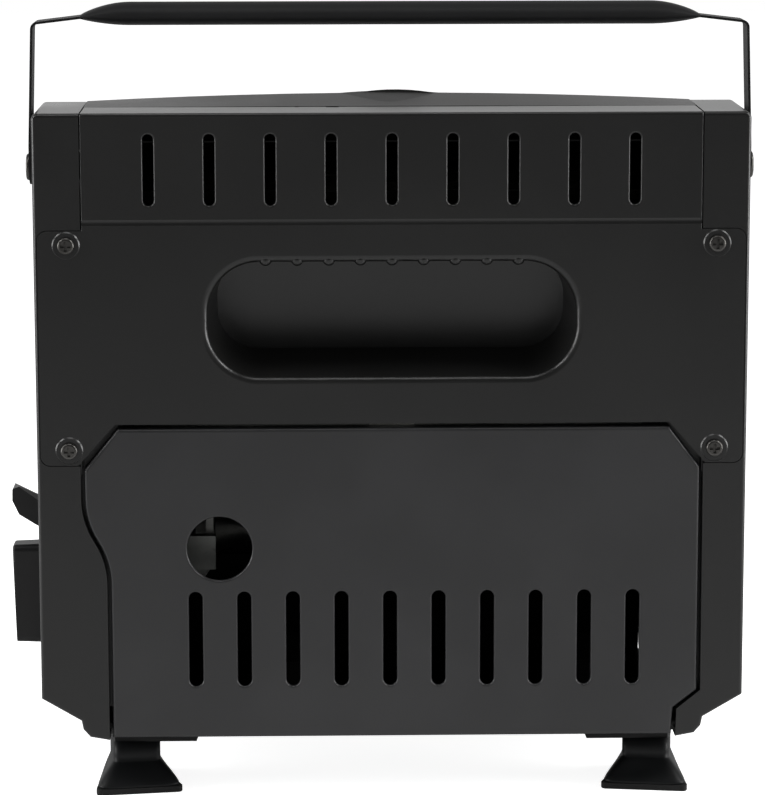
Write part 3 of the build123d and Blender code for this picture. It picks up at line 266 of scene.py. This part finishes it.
def porous_ceramic(name, colour, scorch):
    """Porous burner tile: pale body, painted shade in the pores, and a scorched bloom."""
    f = Finish(name, Specular_IOR_Level=0.2)
    pores = f.cells(1500.0)
    pore_shade = 1 - pores.step(0.08, 0.3)
    bloom = f.noise(26.0, 3.0).step(0.46, 0.7)
    base = f.mix(bloom * 0.55, colour, scorch)
    # Painted shade: the tile colour is darkened inside each pore, where the bump dips.
    f.set("Base Color", f.mix(pore_shade * 0.5, base, shade(colour, 0.4)))
    f.set("Roughness", 0.86 + (pores - 0.5) * 0.1)
    f.bump(pores.step(0.0, 0.4), 0.00012)
    return f.material


def glazed_ceramic(name, colour):
    """Glazed insulator: smooth glassy skin with faint specks."""
    f = Finish(name, Specular_IOR_Level=0.6)
    specks = 1 - f.cells(700.0).step(0.03, 0.07)
    wave = f.noise(160.0, 1.0)
    f.set("Base Color", f.mix(specks * 0.5, colour, (0.25, 0.2, 0.15)))
    f.set("Roughness", 0.14 + wave * 0.12)
    f.bump(wave, 0.00004)
    return f.material


finishes = {
    "body_plastic": grained_plastic("satin_black_body", (0.0058, 0.0058, 0.0056), 0.32),
    # The door's copy of the body's satin black is about three times lighter: partly a real tone
    # difference, partly painted light standing in for the brighter floor reflection on the door.
    "door_plastic": grained_plastic("satin_black_door_painted_lighter", (0.0195, 0.0195, 0.0206), 0.34),
    "hood_plastic": grained_plastic("satin_black_hood", (0.009, 0.0088, 0.008), 0.42),
    "knob_plastic": grained_plastic(
        "dull_black_knob", (0.0055, 0.0055, 0.0057), 0.4, grain=1.4, specular=0.32
    ),
    "grip_plastic": grained_plastic(
        "smooth_black_grip", (0.0075, 0.0077, 0.0082), 0.6, grain=0.4, specular=0.22
    ),
    "foot_plastic": grained_plastic(
        "dull_black_foot", (0.0035, 0.004, 0.0044), 0.5, grain=1.2, specular=0.25
    ),
    "igniter_plastic": grained_plastic("natural_igniter", (0.55, 0.54, 0.5), 0.45, grain=0.6),
    "black_steel": enamel("black_enamel", (0.006, 0.006, 0.0062), 0.5),
    "black_screw": turned_metal(
        "blackened_screw", (0.10, 0.097, 0.092), 0.3, (0.03, 0.029, 0.027)
    ),
    "zinc_steel": rolled_steel("zinc_plated_steel", (0.20, 0.20, 0.19), 0.46),
    "bright_steel": rolled_steel("bright_stainless", (0.68, 0.67, 0.65), 0.2, (0.5, 0.42, 0.3)),
    "chrome_wire": rolled_steel("plated_wire", (0.72, 0.72, 0.71), 0.14),
    "brass": turned_metal("machined_brass", (0.62, 0.44, 0.20), 0.28, (0.32, 0.2, 0.08)),
    "cast_alloy": cast_metal("cast_alloy", (0.20, 0.205, 0.195), 0.46),
    "rubber": soft_rubber("black_rubber", (0.006, 0.006, 0.006), 0.66),
    "lead_rubber": soft_rubber("red_silicone", (0.30, 0.025, 0.016), 0.5),
    "plaque_ceramic": porous_ceramic("burner_tile", (0.70, 0.62, 0.50), (0.42, 0.30, 0.20)),
    "white_ceramic": glazed_ceramic("glazed_insulator", (0.80, 0.78, 0.72)),
}

# The CAD nodes keep their shape and place; only their finish is set.
slot_of = {part["node"]: part["material_slot"] for part in frame["record"]["subparts"]}
for node_name, cad_node in nodes.items():
    cad_node.data.materials.clear()
    cad_node.data.materials.append(finishes[slot_of[node_name]])


# ---- Making pieces ---------------------------------------------------------------------
MM = 0.001
MID_X = -0.0049  # the body's middle plane
SLOPE = radians(25.0)  # the front leans back from the upright by this
FACE_TOP_Y, FACE_TOP_Z, FACE_MIDDLE_Y = 0.0213, 0.280, -0.027
FACE_DROP = (FACE_TOP_Y - FACE_MIDDLE_Y) / tan(SLOPE)
FACE_MIDDLE = np.array([MID_X, FACE_MIDDLE_Y, FACE_TOP_Z - FACE_DROP])
FACE_OUT = np.array([0, -cos(SLOPE), sin(SLOPE)])
FACE_UP = np.array([0, sin(SLOPE), cos(SLOPE)])
BURNER_V = 8.0  # the burner's middle, up the slope


def make_piece(name, points, faces, body, slot, replaced, flat=False):
    """A mesh piece from points in metres and faces, normals outward, riding on a body.

    It is shown instead of the CAD node replaced."""
    mesh = bpy.data.meshes.new(name)
    mesh.from_pydata(np.asarray(points, float).tolist(), [], [list(map(int, f)) for f in faces])
    work = bmesh.new()
    work.from_mesh(mesh)
    bmesh.ops.remove_doubles(work, verts=work.verts, dist=1e-7)
    bmesh.ops.recalc_face_normals(work, faces=work.faces)
    for face in work.faces:
        face.smooth = not flat
    work.to_mesh(mesh)
    work.free()
    mesh.materials.append(finishes[slot])
    piece = bpy.data.objects.new(name, mesh)
    scene.collection.objects.link(piece)
    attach(piece, body)
    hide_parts(replaced)


def tube_faces(count, around, first=0):
    """Faces of a tube of count closed rings, with a fan to a middle point at each end.

    The rings' points come first, then the start's middle point, then the end's."""
    ring = np.arange(around)
    after = np.roll(ring, -1)
    start = np.arange(count - 1)[:, None] * around
    next_start = start + around
    sides = np.stack([start + ring, start + after, next_start + after, next_start + ring], -1)
    near = np.stack([np.full(around, count * around), after, ring], -1)
    last = (count - 1) * around
    far = np.stack([np.full(around, count * around + 1), last + ring, last + after], -1)
    return [f + first for f in (*sides.reshape(-1, 4), *near, *far)]


def tube_points(rings):
    """The points of tube_faces: the rings one after another, then the two ends' middles."""
    return np.vstack([rings.reshape(-1, 3), rings[0].mean(0), rings[-1].mean(0)])


def rods(paths, radius, around):
    """Round rods along several paths: at each point a circle square to the path."""
    points, faces = [], []
    for path in paths:
        ahead = np.gradient(path, axis=0)
        ahead /= np.linalg.norm(ahead, axis=1)[:, None]
        side = np.cross(ahead, FACE_OUT)
        side /= np.linalg.norm(side, axis=1)[:, None]
        rise = np.cross(side, ahead)
        turn = np.linspace(0, 2 * np.pi, around, endpoint=False)[None, :, None]
        circles = np.cos(turn) * side[:, None] + np.sin(turn) * rise[:, None]
        rings = path[:, None] + radius * circles
        faces += tube_faces(len(path), around, sum(map(len, points)))
        points.append(tube_points(rings))
    return np.vstack(points), faces


def on_face(u, v, w):
    """Points u across, v up and w out of the sloping front, all in millimetres."""
    u, v, w = np.broadcast_arrays(u, v, w)
    across = u[..., None] * np.array([1.0, 0, 0])
    return FACE_MIDDLE + MM * (across + v[..., None] * FACE_UP + w[..., None] * FACE_OUT)


# ---- Handle grip -----------------------------------------------------------------------
def make_grip():
    """A sleeve along x whose section is an oval; each end closes like a pointed arch.

    The half height, the half width and the middle's rise go from the strap's to their full
    values with the 0.8th power of the sine of the way in from the tip, as a share of the
    taper's quarter turn."""
    half_length, taper, lift = 124.0, 20.0, 1.3
    strap_height, full_height = 0.75, 4.65
    strap_width, full_width = 7.3, 10.0
    strap_y, strap_z = 46.0, 316.2
    way = np.concatenate([[0, 0.3, 0.8, 1.6], np.linspace(2.6, taper, 14)])
    x = np.concatenate([-half_length + way, half_length - way[::-1]])
    share = np.sin(np.pi / 2 * np.clip((half_length - np.abs(x)) / taper, 0, 1))[:, None] ** 0.8
    turn = np.linspace(0, 2 * np.pi, 48, endpoint=False)
    height = strap_height + (full_height - strap_height) * share
    width = strap_width + (full_width - strap_width) * share
    rings = np.stack([
        MID_X + MM * np.repeat(x[:, None], len(turn), 1),
        MM * (strap_y + width * np.cos(turn)),
        MM * (strap_z + lift * share + height * np.sin(turn)),
    ], -1)
    make_piece("grip_sleeve", tube_points(rings), tube_faces(len(x), len(turn)), "handle",
               "grip_plastic", "handle_grip")


make_grip()


# ---- Feet ------------------------------------------------------------------------------
def make_foot(name, side_x, side_y):
    """A moulded foot: rounded outlines that swell from a straight neck to a wide toe.

    At each height the outline is a rounded square carried onto a trapezoid, whose outer edge,
    away from the middle along y, is the wide one. The trapezoid goes from the neck's square to
    the sole's by 1 less the 1.25th power of the height over the sole, as a share of the toe's
    height."""
    top, sole = 11.8, 2.9
    foot_x, foot_y, turned_out = 106.4, 48.5, 8.5
    neck, neck_along, along_middle = 9.8, 10.0, 2.0
    outer_gain, inner_gain, along_gain = 8.3, 1.2, 8.0
    heights = np.concatenate([[2.6, 2.7, 3.1], np.linspace(3.4, top, 22), [14.0, 19.8]])
    spread = 1 - np.clip((heights - sole) / (top - sole), 0, 1) ** 1.25
    spread = np.minimum(spread, 0.97)[:, None]
    spread[0] -= 0.02  # the lowest outline is drawn in, as a small chamfer
    turn = np.linspace(0, 2 * np.pi, 72, endpoint=False)
    x = np.sign(np.cos(turn)) * np.abs(np.cos(turn)) ** 0.3
    y = np.sign(np.sin(turn)) * np.abs(np.sin(turn)) ** 0.3
    outer, inner = neck + outer_gain * spread, neck + inner_gain * spread
    across = (inner + (outer - inner) * (1 + y) / 2) * x
    along = side_y * (along_middle + (neck_along + along_gain * spread) * y)
    splay = radians(side_x * side_y * turned_out)
    rings = np.stack([
        MID_X + MM * (side_x * foot_x + cos(splay) * across - sin(splay) * along),
        MM * (side_y * foot_y + sin(splay) * across + cos(splay) * along),
        MM * np.repeat(heights[:, None], len(turn), 1),
    ], -1)
    make_piece(name + "_moulding", tube_points(rings), tube_faces(len(heights), len(turn)),
               "heater", "foot_plastic", name)


for foot_name, foot_side_x, foot_side_y in (
    ("left_front_foot", -1, -1), ("left_rear_foot", -1, 1),
    ("right_front_foot", 1, -1), ("right_rear_foot", 1, 1),
):
    make_foot(foot_name, foot_side_x, foot_side_y)


# ---- Burner ----------------------------------------------------------------------------
def make_gauze():
    """Woven wire in front of the tiles: each wire is a cosine wave that passes over and under.

    The wave's half period is the pitch; neighbours are out of step, and the crossing wires
    are out of step with both. A thicker border with four corner posts holds them."""
    pitch, radius, wave, level = 3.4, 0.36, 0.42, -14.5
    half_u, half_v = 72.0, 49.0
    border_radius, border_reach = 0.9, 0.3
    post_u, post_v, post_level = 71.3, 48.3, -19.6
    us = np.arange(-round(half_u / pitch), round(half_u / pitch) + 1) * pitch
    vs = np.arange(-round(half_v / pitch), round(half_v / pitch) + 1) * pitch
    run_u = np.arange(-half_u, half_u + 0.01, pitch / 4)
    run_v = np.arange(-half_v, half_v + 0.01, pitch / 4)
    paths = []
    for i, v in enumerate(vs):
        w = level + wave * np.cos(np.pi * (run_u / pitch + i))
        paths.append(on_face(run_u, BURNER_V + v, w))
    for i, u in enumerate(us):
        step = i - (len(us) // 2) + (len(vs) // 2) + 1
        w = level + wave * np.cos(np.pi * (run_v / pitch + step))
        paths.append(on_face(u, BURNER_V + run_v, w))
    points, faces = rods(paths, radius * MM, 6)
    border = []
    ends_u = np.array([-half_u - border_reach, half_u + border_reach])
    for v in (-half_v, half_v):
        border.append(on_face(ends_u, BURNER_V + v, level))
    for u in (-half_u, half_u):
        border.append(on_face(u, BURNER_V + np.array([-half_v, half_v]), level))
    for u in (-post_u, post_u):
        for v in (-post_v, post_v):
            lean = np.array([u, u + 0.4])
            border.append(on_face(lean, BURNER_V + v, np.array([post_level, level])))
    edge_points, edge_faces = rods(border, border_radius * MM, 10)
    faces += [f + len(points) for f in edge_faces]
    make_piece("woven_gauze", np.vstack([points, edge_points]), faces, "heater", "bright_steel",
               "radiant_mesh")


def make_tiles():
    """The two ceramic tiles: a grid of square cells, each with a round flame hole.

    Every cell is a ring between its square edge and an eight-sided hole, then the hole's wall
    and its floor. Each tile also has its four sides and its back."""
    across, up, pitch, hole = 27, 36, 2.68, 0.72
    front, floor, back = -21.2, -23.4, -31.0
    tile_shift, tile_v = 36.6, BURNER_V + 1
    turn = np.arange(8) * np.pi / 4 + np.pi / 8
    corner = np.abs(np.stack([np.cos(turn), np.sin(turn)], -1)).max(-1)
    square = np.stack([np.cos(turn), np.sin(turn)], -1) / corner[:, None] * pitch / 2
    circle = np.stack([np.cos(turn), np.sin(turn)], -1) * hole
    ring, after = np.arange(8), np.roll(np.arange(8), -1)
    points, faces = [], []
    for tile_u in (-tile_shift, tile_shift):
        centre_u = (np.arange(across) - (across - 1) / 2) * pitch + tile_u
        centre_v = (np.arange(up) - (up - 1) / 2) * pitch + tile_v
        cu, cv = (c.ravel() for c in np.meshgrid(centre_u, centre_v))
        cell = []
        for outline, w in ((square, front), (circle, front), (circle, floor)):
            u = cu[:, None] + outline[:, 0]
            v = cv[:, None] + outline[:, 1]
            cell.append(on_face(u, v, np.full_like(u, w)))
        cell_start = (np.arange(len(cu)) * 24)[:, None] + sum(map(len, points))
        points.append(np.stack(cell, 1).reshape(-1, 3))
        for low in (0, 8):
            quad = np.stack([ring + low, after + low, after + low + 8, ring + low + 8], -1)
            faces += list((quad + cell_start[:, None]).reshape(-1, 4))
        faces += list(np.arange(16, 24) + cell_start)
        half_u, half_v = across * pitch / 2, up * pitch / 2
        edge_u = np.array([-1, 1, 1, -1]) * half_u + tile_u
        edge_v = np.array([-1, -1, 1, 1]) * half_v + tile_v
        base = sum(map(len, points))
        points.append(on_face(edge_u, edge_v, np.full(4, front)))
        points.append(on_face(edge_u, edge_v, np.full(4, back)))
        for i in range(4):
            j = (i + 1) % 4
            faces.append(np.array([i, j, j + 4, i + 4]) + base)
        faces.append(np.array([4, 5, 6, 7]) + base)
    make_piece("burner_tiles", np.vstack(points), faces, "heater", "plaque_ceramic",
               "ceramic_plaques", flat=True)


make_gauze()
make_tiles()


# ---- Floor, world and lamps ------------------------------------------------------------
def light_path(graph, kind):
    """1 for rays of that kind, else 0."""
    rays = graph.tree.nodes.new("ShaderNodeLightPath")
    return Value(graph, rays.outputs["Is %s Ray" % kind])


def make_floor():
    """A pale level floor; the camera sees it lifted to white, and its shadow stays."""
    mesh = bpy.data.meshes.new("floor")
    reach = 5.0
    corners = [(-reach, -reach, 0), (reach, -reach, 0), (reach, reach, 0), (-reach, reach, 0)]
    mesh.from_pydata(corners, [], [(0, 1, 2, 3)])
    floor = bpy.data.objects.new("floor", mesh)
    scene.collection.objects.link(floor)
    material = bpy.data.materials.new("floor_paint")
    material.use_nodes = True
    g = Graph(material.node_tree)
    paint = g.add("ShaderNodeBsdfDiffuse", {}, {"Color": (0.8, 0.8, 0.8, 1)})
    lift = light_path(g, "Camera") * 0.9
    glow = g.add("ShaderNodeEmission", {}, {"Color": (1, 1, 1, 1), "Strength": lift})
    both = g.add("ShaderNodeAddShader", {}, {0: paint, 1: glow})
    g.end("ShaderNodeOutputMaterial", both)
    mesh.materials.append(material)


def make_world():
    """A plain studio: white to the camera, for mirror rays a wall that is bright low down and
    on the side away from the camera, and an even low level for the rays that carry light."""
    world = bpy.data.worlds.new("studio")
    world.use_nodes = True
    scene.world = world
    g = Graph(world.node_tree)
    direction = g.add("ShaderNodeTexCoord")
    parts = g.tree.nodes.new("ShaderNodeSeparateXYZ")
    g.tree.links.new(direction.out, parts.inputs[0])
    toward = Value(g, parts.outputs[1])
    height = Value(g, parts.outputs[2])
    wall = (0.95 - height.step(0.2, 0.6) * 0.7) * (1 - toward.step(-0.25, 0.35) * 0.78)
    mirror = light_path(g, "Glossy")
    mirror = mirror.maths("MAXIMUM", mirror, light_path(g, "Transmission"))
    camera = light_path(g, "Camera")
    level = camera + (1 - camera) * (mirror * wall + (1 - mirror) * 0.24)
    glow = g.add("ShaderNodeBackground", {}, {"Color": (1, 1, 1, 1), "Strength": level})
    g.end("ShaderNodeOutputWorld", glow)


def softbox(name, place, target, width, height, watts):
    """A rectangular lamp at place that faces target."""
    lamp = bpy.data.lights.new(name, "AREA")
    lamp.shape = "RECTANGLE"
    lamp.size = width
    lamp.size_y = height
    lamp.energy = watts
    holder = bpy.data.objects.new(name, lamp)
    away = np.array(place, float) - np.array(target, float)
    away /= np.linalg.norm(away)
    side = np.cross([0, 0, 1.0], away)
    side /= np.linalg.norm(side)
    turn = Matrix(np.array([side, np.cross(away, side), away]).T.tolist()).to_4x4()
    holder.matrix_world = Matrix.Translation(place) @ turn
    scene.collection.objects.link(holder)


make_floor()
make_world()
softbox("top_softbox", (0.05, 0.25, 1.35), (0, 0.05, 0.1), 0.6, 0.5, 3.0)
softbox("high_right_softbox", (-0.95, 0.3, 1.05), (0, 0.05, 0.15), 0.35, 0.35, 6.0)
softbox("high_left_softbox", (0.95, 0.3, 1.05), (0, 0.05, 0.15), 0.35, 0.35, 4.5)
softbox("right_softbox", (-1.3, 0.25, 0.3), (0, 0, 0.15), 0.5, 0.7, 12.0)
softbox("left_softbox", (1.3, 0.25, 0.3), (0, 0, 0.15), 0.5, 0.7, 10.0)
